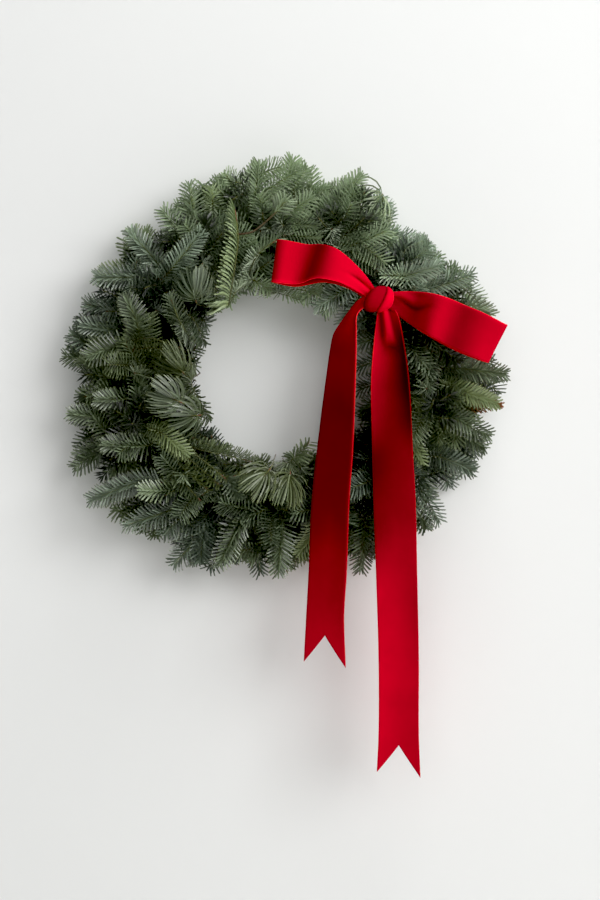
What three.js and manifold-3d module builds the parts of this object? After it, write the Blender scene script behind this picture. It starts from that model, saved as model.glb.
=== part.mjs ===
// A fresh fir wreath on a wire ring, with a bow of velvet ribbon, hanging from a loop of wire.
// Millimetres and degrees. +Z is up, the wall is behind at Y = 0 and the viewer is at -Y.
// The origin is the top of the hanging loop, where the nail carries it.

import * as THREE from 'three';
import { mergeVertices } from 'three/addons/utils/BufferGeometryUtils.js';
import Module from 'manifold-3d';

const wasm = await Module();
wasm.setup();

// The ring, how far its wire stands off the wall, and how far its centre is below the nail.
const RING_RADIUS = 150;
const RING_WIRE = 2;
const RING_LIFT = 22;
const HANG_DROP = 174;
const RING_FACETS = 44;

// Twigs: radii at the cut end and at the bud, and the gap between two pieces that touch.
const STEM_ROOT = 2;
const STEM_TIP = 1.6;
const SIDE_ROOT = 1.5;
const SIDE_TIP = 1.4;
const TOUCH = 0.6;
const STEM_OFFSET = RING_WIRE + STEM_ROOT + TOUCH;

// Needles: length, radius at the root, spacing along a twig, lean towards its tip, and turn about it.
const NEEDLE_LENGTH = 24;
const NEEDLE_RADIUS = 0.85;
const NEEDLE_PITCH = 8.5;
const NEEDLE_LEAN = 50;
const TIP_LEAN = 26;
const GOLDEN_ANGLE = 137.5;
const SUNK = 1;
const NEEDLE_CLEAR = 3.1;
const SIDE_STEPS = 1;
const TWIG_CLEAR = 4.6;
const WALL_CLEAR = 1.5;

// Stations round the ring, with a bunch of four sprigs at each, bound along a short arc.
const STATIONS = 13;
const STATION_STEP = 360 / STATIONS;
const BOUND_ARC = 13.4;

// The parts of a middle twig's length where its facets meet.
const MIDDLE_PARTS = [0, 0.2, 0.4, 0.58, 0.78, 1];

// The binding wire, and the ties that go round ring, stems and binding together.
const BINDING_WIRE = 0.55;
const BINDING_OFFSET = STEM_OFFSET + STEM_ROOT + BINDING_WIRE + 0.74;
const BINDING_PHASE = -4;
const TIE_WIRE = 0.7;
const TIE_OFFSET = BINDING_OFFSET + BINDING_WIRE + TIE_WIRE + 0.36;
const HUG_OFFSET = STEM_OFFSET + STEM_ROOT + TIE_WIRE + 0.25;

// Ribbon, and the knot's centre and half sizes, measured from the wreath's centre.
const RIBBON_THICKNESS = 1.4;
const KNOT = { x: 112, lift: 130, z: 78 };
const KNOT_HALF = { x: 19, lift: 13, z: 14.5 };
const BOW_CLOCK = 2 * STATION_STEP;

// Faces nearer to one plane than this are merged where shapes join.
const MERGE_WITHIN = 0.15;

const FIR_GREEN = 0x46563c;
const FIR_BLUE = 0x5f7066;
const RIBBON_RED = 0xb00014;
const WIRE_GREEN = 0x2f4a33;
const STEEL = 0x8c8f90;

// The four rows of sprigs. side is where the stem lies about the ring wire: 0 outwards, 90 towards the
// viewer, 180 inwards. Each tip is [clock, reach], and lift is how far the tips are off the wall. The
// outer row gives left, middle and right tips, as its edge is the outline.
const OUTER = {
  name: 'outer',
  side: -20,
  tips: [
    [[3, 262], [14, 240], [23, 261]],
    [[31, 246], [41, 226], [51, 241]],
    [[60, 252], [66, 263], [77, 262]],
    [[86, 262], [93, 273], [101, 269]],
    [[110, 267], [118, 273], [127, 256]],
    [[136, 272], [146, 260], [157, 267]],
    [[166, 250], [175, 248], [183, 258]],
    [[192, 250], [201, 262], [208, 278]],
    [[217, 272], [227, 280], [237, 293]],
    [[246, 286], [257, 276], [264, 260]],
    [[273, 273], [281, 270], [289, 262]],
    [[297, 262], [306, 254], [313, 263]],
    [[325, 246], [334, 256], [342, 254]],
  ],
  lift: 30,
};
const MIDDLE = {
  name: 'middle',
  side: 50,
  tips: [[33, 216], [57, 226], [82, 232], [106, 238], [132, 236], [160, 240], [190, 238], [214, 246],
    [247, 243], [272, 247], [296, 222], [330, 210], [353, 256]],
  lift: 66,
};
const FRONT = {
  name: 'front',
  side: 115,
  tips: [[31, 186], [58, 188], [85, 192], [112, 190], [141, 188], [168, 190], [195, 192], [224, 198],
    [252, 200], [279, 196], [306, 190], [334, 176], [3, 186]],
  lift: 92,
};
const INNER = {
  name: 'inner',
  side: 185,
  tips: [[44, 89], [74, 96], [104, 103], [132, 104], [160, 103], [186, 108], [213, 116], [240, 109],
    [266, 104], [290, 98], [318, 104], [344, 91], [12, 102]],
  lift: 54,
};

const ROWS = [OUTER, MIDDLE, FRONT, INNER];

// A point of the wreath from its clock angle, its reach from the centre and its lift off the wall.
function place(clock, reach, lift) {
  const turn = THREE.MathUtils.degToRad(clock);
  return new THREE.Vector3(reach * Math.sin(turn), -lift, reach * Math.cos(turn) - HANG_DROP);
}

// A point beside the ring wire.
function besideRing(clock, side, offset) {
  const turn = THREE.MathUtils.degToRad(side);
  return place(clock, RING_RADIUS + offset * Math.cos(turn), RING_LIFT + offset * Math.sin(turn));
}

// A value from 0 to 1, the same each time for the same count.
function chance(count) {
  const wave = Math.sin(count * 12.9898 + 4.1414) * 43758.5453;
  return wave - Math.floor(wave);
}

function mix(from, to, part) {
  return from + (to - from) * part;
}

// The points of a curve at the given parts of it, each with two directions square to the curve.
function framesAlong(curve, parts) {
  const first = curve.getTangent(parts[0]);
  let across = new THREE.Vector3(first.z, first.x, first.y);
  return parts.map((part) => {
    const tangent = curve.getTangent(part);
    across = across.clone().addScaledVector(tangent, -across.dot(tangent)).normalize();
    const up = new THREE.Vector3().crossVectors(across, tangent);
    return { centre: curve.getPoint(part), tangent, across, up };
  });
}

function evenParts(steps) {
  return Array.from({ length: steps + 1 }, (_, i) => i / steps);
}

// A closed tube: an upright cylinder bent along the frames, its radius running from root to tip.
function tube(frames, root, tip, sides) {
  const steps = frames.length - 1;
  const shape = new THREE.CylinderGeometry(1, 1, 1, sides, steps);
  const spots = shape.attributes.position;
  const spot = new THREE.Vector3();
  for (let i = 0; i < spots.count; i++) {
    spot.fromBufferAttribute(spots, i);
    const along = spot.y + 0.5;
    const radius = mix(root, tip, along);
    const { centre, across, up } = frames[Math.round(along * steps)];
    const bent = centre.clone().addScaledVector(across, spot.x * radius).addScaledVector(up, spot.z * radius);
    spots.setXYZ(i, bent.x, bent.y, bent.z);
  }
  return shape;
}

// A needle: a three-sided spike from the twig's core to its tip.
function needle(from, to) {
  const spike = new THREE.ConeGeometry(NEEDLE_RADIUS, from.distanceTo(to), 3);
  const heading = new THREE.Vector3().subVectors(to, from).normalize();
  const turn = new THREE.Quaternion().setFromUnitVectors(new THREE.Vector3(0, 1, 0), heading);
  const centre = new THREE.Vector3().lerpVectors(from, to, 0.5);
  return spike.applyMatrix4(new THREE.Matrix4().compose(centre, turn, new THREE.Vector3(1, 1, 1)));
}

// The shape with only its positions, and its shared vertices merged.
function bare(shape) {
  const result = new THREE.BufferGeometry();
  result.setAttribute('position', shape.attributes.position);
  result.setIndex(shape.index);
  return mergeVertices(result, 1e-4);
}

// Joins closed shapes into one solid.
function fuse(shapes) {
  const solids = shapes.map((shape) => {
    const merged = bare(shape);
    return new wasm.Manifold(new wasm.Mesh({
      numProp: 3,
      vertProperties: new Float32Array(merged.attributes.position.array),
      triVerts: new Uint32Array(merged.index.array),
    }));
  });
  const joined = wasm.Manifold.union(solids).asOriginal().simplify(MERGE_WITHIN).getMesh();
  const result = new THREE.BufferGeometry();
  result.setAttribute('position', new THREE.BufferAttribute(joined.vertProperties, 3));
  result.setIndex(new THREE.BufferAttribute(joined.triVerts, 1));
  return result;
}

const wreath = new THREE.Group();

function addPiece(name, shape, finish) {
  const piece = new THREE.Mesh(bare(shape), new THREE.MeshStandardMaterial(finish));
  piece.name = name;
  wreath.add(piece);
}

// What twigs and needles keep clear of: straight stretches, each with its piece and the twig it is on.
const stretches = [];

function addStretches(points, piece, twig = 0) {
  for (let i = 1; i < points.length; i++) {
    stretches.push({ line: new THREE.Line3(points[i - 1], points[i]), piece, twig });
  }
}

function isClear(points, gap, isOwn) {
  const nearest = new THREE.Vector3();
  return !stretches.some((stretch) => !isOwn(stretch) && points.some((point) => {
    stretch.line.closestPointToPoint(point, true, nearest);
    return nearest.distanceTo(point) < gap;
  }));
}

// Wire ring: one round of stiff wire.
function makeRing() {
  const ring = new THREE.TorusGeometry(RING_RADIUS, RING_WIRE, 5, RING_FACETS);
  ring.rotateX(Math.PI / 2);
  ring.translate(0, -RING_LIFT, -HANG_DROP);
  addPiece('wire_ring', ring, { color: WIRE_GREEN, roughness: 0.5, metalness: 0.6 });
}

// A wire of even radius through the given points.
function makeWire(name, points, radius, steps, finish) {
  const curve = new THREE.CatmullRomCurve3(points, false, 'centripetal');
  const frames = framesAlong(curve, evenParts(steps));
  addStretches(frames.map((frame) => frame.centre), name);
  addPiece(name, tube(frames, radius, radius, 4), finish);
}

// Binding wire: one turn at each station round the ring and the stems, its two ends side by side.
function makeBinding() {
  const turns = evenParts(STATIONS * 8).map((part) => mix(2, 358, part));
  const points = turns.map((turn) => besideRing(turn + BINDING_PHASE, turn * STATIONS, BINDING_OFFSET));
  const curve = new THREE.CatmullRomCurve3(points, false, 'centripetal');
  const frames = framesAlong(curve, evenParts(turns.length - 1));
  const finish = { color: WIRE_GREEN, roughness: 0.5, metalness: 0.6 };
  addPiece('binding_wire', tube(frames, BINDING_WIRE, BINDING_WIRE, 3), finish);
}

// Hanging loop: a wire that goes round the ring at its top and up behind into an eye for the nail.
function makeHangingLoop() {
  const points = [
    besideRing(0.6, -75, TIE_OFFSET + 2.4),
    new THREE.Vector3(6, -2.4, -13),
    new THREE.Vector3(7.5, -1, -7),
    new THREE.Vector3(4.5, -1, -1.2),
    new THREE.Vector3(0, -1, 0),
    new THREE.Vector3(-4.5, -1, -1.2),
    new THREE.Vector3(-7.5, -1, -7),
    new THREE.Vector3(-5.5, -2.4, -13),
    besideRing(-0.7, -50, TIE_OFFSET + 1.6),
    ...[0, 45, 90, 135, 180, 225, 270].map((side) => besideRing(-0.5, side, TIE_OFFSET)),
  ];
  makeWire('hanging_loop', points, TIE_WIRE, 30, { color: STEEL, roughness: 0.4, metalness: 0.8 });
}

// Bow wire: a hairpin that goes round the back of the ring and comes forward to the back of the knot.
function makeBowWire() {
  const knotBack = KNOT.lift - KNOT_HALF.lift - TIE_WIRE - 0.4;
  const knotReach = Math.hypot(KNOT.x, KNOT.z);
  const knotClock = THREE.MathUtils.radToDeg(Math.atan2(KNOT.x, KNOT.z));
  const points = [
    place(knotClock, knotReach, knotBack),
    place(knotClock + 0.3, knotReach + 5, knotBack - 10),
    place(BOW_CLOCK, RING_RADIUS + TIE_OFFSET, 58),
    besideRing(BOW_CLOCK, 25, TIE_OFFSET),
    ...[-10, -45, -80, -115, -150].map((side) => besideRing(BOW_CLOCK, side, HUG_OFFSET)),
    besideRing(BOW_CLOCK, 175, TIE_OFFSET),
    place(BOW_CLOCK, RING_RADIUS - TIE_OFFSET, 58),
    place(knotClock, knotReach - 2.5, knotBack - 4),
  ];
  makeWire('bow_wire', points, TIE_WIRE, 24, { color: STEEL, roughness: 0.4, metalness: 0.8 });
}

// A strip of ribbon between two edges, each a list of [x, lift, z] from the wreath's centre. hollow gives
// how far the middle falls back at each part of its length, and notch is the share cut from its end.
function strip(firstEdge, secondEdge, steps, hollow, notch) {
  const [first, second] = [firstEdge, secondEdge].map((edge) => new THREE.CatmullRomCurve3(
    edge.map(([x, lift, z]) => new THREE.Vector3(x, -lift, z - HANG_DROP)),
    false,
    'centripetal',
  ));
  const spotOf = (across, along, raise) => {
    const reached = along * (1 - notch * (1 - Math.abs(2 * across - 1)));
    const from = first.getPointAt(reached);
    const to = second.getPointAt(reached);
    const side = new THREE.Vector3().subVectors(to, from).normalize();
    const normal = first.getTangentAt(reached).cross(side).normalize();
    const fall = hollow(along) * (1 - (2 * across - 1) ** 2);
    return from.lerp(to, across).addScaledVector(normal, raise - fall);
  };
  const band = new THREE.BoxGeometry(1, 1, 1, 2, 1, steps);
  const spots = band.attributes.position;
  for (let i = 0; i < spots.count; i++) {
    const bent = spotOf(spots.getX(i) + 0.5, spots.getZ(i) + 0.5, spots.getY(i) * RIBBON_THICKNESS);
    spots.setXYZ(i, bent.x, bent.y, bent.z);
  }
  for (const across of evenParts(9)) {
    addStretches(evenParts(steps).map((along) => spotOf(across, along, 0)), 'ribbon');
  }
  return band;
}

// Ribbon: two loops, a knot with a pleat below it, and two tails with notched ends, all one length.
function makeRibbon() {
  const flat = () => 0;
  const leftLoop = strip(
    [[108, 128, 88], [91, 136, 110], [65, 143, 133], [49, 143, 140], [31, 136, 142], [13, 131, 145],
      [-5, 128, 148], [-8, 122, 148], [-4, 116, 147], [13, 113, 144], [49, 114, 139], [80, 117, 121],
      [105, 119, 88]],
    [[102, 128, 76], [93, 133, 82], [66, 142, 95], [49, 143, 99], [31, 136, 99], [13, 131, 94],
      [-11, 128, 97], [-15, 122, 98], [-11, 116, 97], [13, 113, 92], [49, 114, 96], [80, 117, 87],
      [101, 119, 74]],
    22, flat, 0,
  );
  const rightLoop = strip(
    [[120, 128, 69], [137, 130, 57], [151, 133, 46], [165, 136, 38], [185, 138, 26], [205, 136, 16],
      [225, 133, 8], [239, 129, 2], [242, 123, 2], [238, 117, 3], [205, 114, 16], [165, 115, 38],
      [137, 118, 57], [119, 120, 70]],
    [[120, 128, 85], [145, 131, 86], [161, 134, 85], [177, 137, 83], [195, 138, 77], [215, 136, 69],
      [235, 133, 61], [261, 129, 48], [265, 123, 47], [260, 117, 48], [215, 114, 69], [177, 115, 83],
      [145, 118, 86], [119, 120, 84]],
    22, flat, 0,
  );
  const leftTail = strip(
    [[101, 126, 82], [89, 122, 77], [70, 112, 54], [59, 106, 37], [55, 104, 19], [50, 104, -16],
      [42, 107, -77], [33, 109, -161], [29, 111, -246], [26, 114, -300], [23, 117, -354]],
    [[104, 130, 70], [93, 131, 66], [86, 134, 58], [85, 138, 38], [85, 141, 18], [84, 140, -24],
      [81, 134, -103], [77, 130, -161], [74, 129, -246], [71, 124, -299], [73, 119, -361]],
    16, flat, 0.078,
  );
  const rightTail = strip(
    [[112, 126, 72], [110, 128, 58], [106, 128, 24], [103, 127, -20], [104, 124, -87], [106, 121, -161],
      [109, 120, -250], [112, 119, -352], [112, 118, -437], [110, 118, -485]],
    [[124, 126, 74], [134, 128, 60], [142, 128, 24], [148, 127, -20], [153, 124, -110], [156, 121, -161],
      [158, 120, -250], [160, 119, -352], [160, 118, -437], [162, 118, -492]],
    16, (along) => 13 * Math.exp(-(((along - 0.12) / 0.12) ** 2)), 0.063,
  );
  const pleatPath = new THREE.CatmullRomCurve3([[116, 131, 68], [121, 133, 52], [126, 129, 30]].map(
    ([x, lift, z]) => new THREE.Vector3(x, -lift, z - HANG_DROP),
  ));
  const pleat = tube(framesAlong(pleatPath, evenParts(3)), 8, 4, 6);
  const knot = new THREE.SphereGeometry(1, 10, 6);
  knot.scale(KNOT_HALF.x, KNOT_HALF.lift, KNOT_HALF.z);
  knot.translate(KNOT.x, -KNOT.lift, KNOT.z - HANG_DROP);
  const bow = fuse([knot, leftLoop, rightLoop, leftTail, rightTail, pleat]);
  addPiece('ribbon', bow, { color: RIBBON_RED, roughness: 0.95, metalness: 0 });
}

// The middle twig of a sprig: along the ring beside its wire, then out to the tip.
function middlePath(row, station, [clock, reach], lift) {
  const crossing = BINDING_PHASE + (row.side / 360 + station) * STATION_STEP;
  const start = crossing - BOUND_ARC * 0.45;
  const leave = start + BOUND_ARC;
  const lead = THREE.MathUtils.euclideanModulo(clock - leave + 180, 360) - 180;
  const side = THREE.MathUtils.degToRad(row.side);
  const fromReach = RING_RADIUS + STEM_OFFSET * Math.cos(side);
  const fromLift = RING_LIFT + STEM_OFFSET * Math.sin(side);
  const bound = [0, 0.5, 1].map((part) => besideRing(start + part * BOUND_ARC, row.side, STEM_OFFSET));
  const free = [0.3, 0.65, 1].map((part) => place(
    leave + lead * part ** 1.35,
    mix(fromReach, reach, part ** 1.2),
    mix(fromLift, lift, 1 - (1 - part) ** 1.6),
  ));
  return new THREE.CatmullRomCurve3([...bound, ...free], false, 'centripetal');
}

function stretchLengths(frames) {
  return frames.slice(1).map((frame, i) => frame.centre.distanceTo(frames[i].centre));
}

// The place at the given part of a faceted twig's length, with its own directions.
function spotAlong(frames, part) {
  const lengths = stretchLengths(frames);
  let rest = part * lengths.reduce((sum, length) => sum + length);
  let i = 0;
  while (i < lengths.length - 1 && rest > lengths[i]) {
    rest -= lengths[i];
    i += 1;
  }
  const share = rest / lengths[i];
  const tangent = new THREE.Vector3().subVectors(frames[i + 1].centre, frames[i].centre).normalize();
  const across = frames[i].across.clone().lerp(frames[i + 1].across, share);
  across.addScaledVector(tangent, -across.dot(tangent)).normalize();
  const up = new THREE.Vector3().crossVectors(across, tangent);
  const centre = frames[i].centre.clone().lerp(frames[i + 1].centre, share);
  return { centre, tangent, across, up };
}

// Needles along a twig from the given part of it to its bud, turned about it until they are clear. Each
// comes out through the middle of one of the twig's four faces and is sunk past the twig's centre line.
function needlesAlong(frames, from, radius, piece, twig, seed) {
  const isOwn = (stretch) => stretch.piece === piece && stretch.twig === twig;
  const needles = [];
  const length = stretchLengths(frames).reduce((sum, stretch) => sum + stretch);
  const count = Math.max(3, Math.round((1 - from) * length / NEEDLE_PITCH));
  for (let i = 0; i < count; i++) {
    const part = mix(from, 0.985, i / (count - 1));
    const { centre, tangent, across, up } = spotAlong(frames, part);
    const lean = THREE.MathUtils.degToRad(mix(NEEDLE_LEAN, TIP_LEAN, part ** 4));
    const reach = NEEDLE_LENGTH * mix(0.9, 1.1, chance(seed + i));
    for (let attempt = 0; attempt < 7; attempt++) {
      const turn = i * GOLDEN_ANGLE + seed * 40 + attempt * 52;
      const face = 45 + 90 * Math.floor(THREE.MathUtils.euclideanModulo(turn, 360) / 90);
      const towards = (angle) => across.clone().multiplyScalar(Math.cos(THREE.MathUtils.degToRad(angle)))
        .addScaledVector(up, Math.sin(THREE.MathUtils.degToRad(angle)));
      const heading = tangent.clone().multiplyScalar(Math.cos(lean));
      heading.addScaledVector(towards(turn), Math.sin(lean));
      const exit = centre.clone().addScaledVector(towards(face), radius * Math.SQRT1_2);
      const root = exit.clone().addScaledVector(heading, -radius * SUNK);
      const tip = exit.clone().addScaledVector(heading, reach);
      const samples = evenParts(6).map((share) => root.clone().lerp(tip, share));
      if (tip.y < -WALL_CLEAR && isClear(samples, NEEDLE_CLEAR, isOwn)) {
        needles.push({ root, tip });
        break;
      }
    }
  }
  return needles;
}

// A side twig that leaves the middle one at the given part of it for a tip of its own, which is lifted or
// lowered until the twig is clear of the other sprigs.
function sideFrames(frames, part, tipAt, piece) {
  const { centre: root, tangent } = spotAlong(frames, part);
  const isOwn = (stretch) => stretch.piece === piece;
  for (const shift of [0, 7, -7, 14, -14, 21, -21, 28]) {
    const tip = tipAt(shift);
    const bend = root.clone().lerp(tip, 0.5).addScaledVector(tangent, root.distanceTo(tip) * 0.08);
    const side = framesAlong(new THREE.QuadraticBezierCurve3(root, bend, tip), evenParts(SIDE_STEPS));
    const samples = evenParts(16).map((share) => spotAlong(side, share).centre);
    if (tip.y < -WALL_CLEAR - SIDE_ROOT && isClear(samples, TWIG_CLEAR, isOwn)) {
      return side;
    }
  }
  return null;
}

// The tips of a sprig, the middle one first, each with its clock angle, reach and lift.
function tipsOf(row, station) {
  const seed = station * 4 + ROWS.indexOf(row);
  const sway = (count, range) => range * (chance(seed * 7 + count) - 0.5);
  const lift = row.lift + sway(0, 12);
  if (row === OUTER) {
    const [left, middle, right] = row.tips[station];
    return [[...middle, lift], [...left, lift + sway(1, 16)], [...right, lift + sway(2, 16)]];
  }
  const [clock, reach] = row.tips[station];
  if (row === INNER) {
    return [
      [clock, reach, lift],
      [clock - 20 + sway(1, 5), reach + 6 + sway(2, 8), lift - 22 + sway(3, 8)],
      [clock - 8 + sway(4, 5), reach + 34 + sway(5, 8), lift + 24 + sway(6, 8)],
    ];
  }
  const spread = row === MIDDLE ? 11 : 13;
  return [
    [clock, reach, lift],
    [clock - spread + sway(1, 5), reach - 20 + sway(2, 16), lift + 2 + sway(3, 12)],
    [clock + spread + sway(4, 5), reach - 22 + sway(5, 16), lift + sway(6, 12)],
  ];
}

function makeSprigs() {
  const sprigs = [];
  for (let station = 0; station < STATIONS; station++) {
    for (const row of ROWS) {
      const name = `fir_sprig_${row.name}_${String(station + 1).padStart(2, '0')}`;
      const tips = tipsOf(row, station);
      const [clock, reach, lift] = tips[0];
      const frames = framesAlong(middlePath(row, station, [clock, reach], lift), MIDDLE_PARTS);
      addStretches(frames.map((frame) => frame.centre), name);
      sprigs.push({ name, row, station, tips, frames, sides: [] });
    }
  }
  for (const sprig of sprigs) {
    sprig.tips.slice(1).forEach(([clock, reach, lift], i) => {
      const tipAt = (shift) => place(clock, reach, lift + shift);
      const frames = sideFrames(sprig.frames, 0.5 + 0.08 * i, tipAt, sprig.name);
      if (frames) {
        sprig.sides.push(frames);
        addStretches(frames.map((frame) => frame.centre), sprig.name, sprig.sides.length);
      }
    });
  }
  for (const [count, sprig] of sprigs.entries()) {
    const needles = [];
    [sprig.frames, ...sprig.sides].forEach((frames, twig) => {
      const from = twig === 0 ? 0.38 : 0.2;
      const radius = twig === 0 ? STEM_TIP : SIDE_TIP;
      const grown = needlesAlong(frames, from, radius, sprig.name, twig, count * 31 + twig * 11);
      grown.forEach(({ root, tip }) => addStretches([root, tip], sprig.name, twig));
      needles.push(...grown);
    });
    const shapes = [
      tube(sprig.frames, STEM_ROOT, STEM_TIP, 4),
      ...sprig.sides.map((frames) => tube(frames, SIDE_ROOT, SIDE_TIP, 4)),
      ...needles.map(({ root, tip }) => needle(root, tip)),
    ];
    const color = sprig.station % 3 === 1 ? FIR_BLUE : FIR_GREEN;
    addPiece(sprig.name, fuse(shapes), { color, roughness: 0.6, metalness: 0 });
  }
}

makeRing();
makeBinding();
makeHangingLoop();
makeBowWire();
makeRibbon();
makeSprigs();

export default wreath;
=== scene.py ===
"""A fresh fir wreath on a wire ring, with a bow of red velvet ribbon, hung on a plain pale wall.

Shapes are worked out in millimetres from the wreath's own coordinates: a clock angle round it, a reach
from its centre and a lift off the wall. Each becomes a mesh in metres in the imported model's frame.
"""

import bpy
import numpy as np
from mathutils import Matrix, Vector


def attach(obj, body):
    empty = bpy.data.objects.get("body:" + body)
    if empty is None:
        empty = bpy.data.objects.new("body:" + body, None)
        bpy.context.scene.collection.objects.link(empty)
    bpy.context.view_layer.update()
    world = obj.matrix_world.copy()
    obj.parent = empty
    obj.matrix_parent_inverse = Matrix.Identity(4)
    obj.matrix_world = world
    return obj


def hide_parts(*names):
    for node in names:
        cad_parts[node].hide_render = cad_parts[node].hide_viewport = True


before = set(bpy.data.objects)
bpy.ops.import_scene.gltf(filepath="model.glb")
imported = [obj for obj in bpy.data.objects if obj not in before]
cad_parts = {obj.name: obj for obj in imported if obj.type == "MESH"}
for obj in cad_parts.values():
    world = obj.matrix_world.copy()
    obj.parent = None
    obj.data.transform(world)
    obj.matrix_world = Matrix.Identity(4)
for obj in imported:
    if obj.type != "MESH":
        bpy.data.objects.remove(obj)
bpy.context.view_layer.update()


# Viewpoint. Square to the wall and taken as 2.4 m from it, a little right of the wreath's centre line
# and below its middle. The Standard view with a small black level keeps the deep shade between needles.
VIEW_DISTANCE = 2.4
VIEW_HALF_HEIGHT = 0.5632
VIEW_ACROSS = 0.0186
VIEW_UP = -0.2757
BLACK_LEVEL = 0.01
lens = bpy.data.cameras.new("viewpoint")
lens.sensor_width = 36
lens.lens = lens.sensor_width / 2 * VIEW_DISTANCE / VIEW_HALF_HEIGHT
lens.clip_end = 50
viewpoint = bpy.data.objects.new("viewpoint", lens)
viewpoint.location = (VIEW_ACROSS, -VIEW_DISTANCE, VIEW_UP)
viewpoint.rotation_euler = (np.pi / 2, 0, 0)
bpy.context.scene.collection.objects.link(viewpoint)
bpy.context.scene.camera = viewpoint
view = bpy.context.scene.view_settings
view.view_transform = "Standard"
view.use_curve_mapping = True
view.curve_mapping.black_level = (BLACK_LEVEL, BLACK_LEVEL, BLACK_LEVEL)


# Studio. A plain matt wall and floor, a large soft light high at the right, a wide fill in front, one
# from above and one behind. The wall is clear from its back and stops no light, so that the views from
# behind see the wreath and the light there reaches it.
def linear(code):
    """An sRGB colour as linear red, green, blue and alpha: c / 12.92, or ((c + 0.055) / 1.055) ** 2.4."""
    parts = [int(code[i : i + 2], 16) / 255 for i in (1, 3, 5)]
    return (*[c / 12.92 if c <= 0.04045 else ((c + 0.055) / 1.055) ** 2.4 for c in parts], 1)


def add_node(tree, kind, inputs=(), **settings):
    """Adds one node with its settings, and gives each named input a value or a link."""
    node = tree.nodes.new(kind)
    for name, value in settings.items():
        setattr(node, name, value)
    for name, value in dict(inputs).items():
        if isinstance(value, bpy.types.NodeSocket):
            tree.links.new(value, node.inputs[name])
        else:
            node.inputs[name].default_value = value
    return node


def new_material(name):
    """An empty node material, its tree and its output node."""
    material = bpy.data.materials.new(name)
    material.use_nodes = True
    material.node_tree.nodes.clear()
    return material, material.node_tree, add_node(material.node_tree, "ShaderNodeOutputMaterial")


wall_paint, tree, output = new_material("wall_paint")
facing = add_node(tree, "ShaderNodeNewGeometry")
rays = add_node(tree, "ShaderNodeLightPath")
open_to = add_node(
    tree,
    "ShaderNodeMath",
    {0: facing.outputs["Backfacing"], 1: rays.outputs["Is Shadow Ray"]},
    operation="MAXIMUM",
)
paint = add_node(tree, "ShaderNodeBsdfDiffuse", {"Color": linear("#dfe0df")})
clear = add_node(tree, "ShaderNodeBsdfTransparent")
either = add_node(
    tree,
    "ShaderNodeMixShader",
    {0: open_to.outputs[0], 1: paint.outputs[0], 2: clear.outputs[0]},
)
tree.links.new(either.outputs[0], output.inputs["Surface"])

floor_paint, tree, output = new_material("floor_paint")
paint = add_node(tree, "ShaderNodeBsdfDiffuse", {"Color": linear("#dcdbd8")})
tree.links.new(paint.outputs[0], output.inputs["Surface"])

STAGE_HALF = 4
FLOOR_LEVEL = -1.45
WALL_TOP = 2.5
FLOOR_FRONT = -5
FLOOR_BACK = 3
outline = ((-STAGE_HALF, 0), (STAGE_HALF, 0), (STAGE_HALF, 1), (-STAGE_HALF, 1))
for name, corners, paint in (
    ("wall", [(x, 0, (FLOOR_LEVEL, WALL_TOP)[far]) for x, far in outline], wall_paint),
    ("floor", [(x, (FLOOR_FRONT, FLOOR_BACK)[far], FLOOR_LEVEL) for x, far in outline], floor_paint),
):
    mesh = bpy.data.meshes.new(name)
    mesh.from_pydata(corners, [], [(0, 1, 2, 3)])
    mesh.materials.append(paint)
    panel = bpy.data.objects.new(name, mesh)
    bpy.context.scene.collection.objects.link(panel)

for name, spot, aim, size, watts in (
    ("key_light", (2.7, -3.4, 1.1), (0.0, 0, -0.25), 2.9, 142),
    ("front_fill", (0.2, -3.2, 0.4), (0, 0, -0.1), 3.0, 36),
    ("top_fill", (0.5, -1.0, 2.4), (0, 0, -0.1), 1.4, 30),
    ("back_fill", (0.3, 1.8, 0.5), (0, 0, -0.3), 1.6, 48),
):
    glow = bpy.data.lights.new(name, "AREA")
    glow.shape = "DISK"
    glow.size = size
    glow.energy = watts
    lamp = bpy.data.objects.new(name, glow)
    lamp.location = spot
    away = lamp.location - Vector(aim)
    lamp.rotation_euler = away.to_track_quat("Z", "Y").to_euler()
    bpy.context.scene.collection.objects.link(lamp)

room = bpy.data.worlds.new("studio")
room.use_nodes = True
backdrop = room.node_tree.nodes["Background"]
backdrop.inputs["Color"].default_value = linear("#f2f2f0")
backdrop.inputs["Strength"].default_value = 0.07
bpy.context.scene.world = room


# Wire ring. One round of 4 mm steel wire, enamelled dark green, 300 mm across; the stems are bound to it.
MM = 0.001
RING_RADIUS = 150
RING_WIRE = 2
RING_LIFT = 22
RING_STEPS = 144
RING_SIDES = 16
HANG_DROP = 174
DIE_MARK = 0.4


def place(clock, reach, lift):
    """Points of the wreath: across is reach times the sine of the clock angle, up is reach times its
    cosine less the drop from the nail, and lift is how far they are off the wall."""
    turn = np.radians(clock)
    return np.stack(
        np.broadcast_arrays(reach * np.sin(turn), -lift, reach * np.cos(turn) - HANG_DROP), axis=-1
    ).astype(float)


def unit(vectors):
    """Vectors at length one."""
    return vectors / np.maximum(np.linalg.norm(vectors, axis=-1, keepdims=True), 1e-9)


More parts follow.
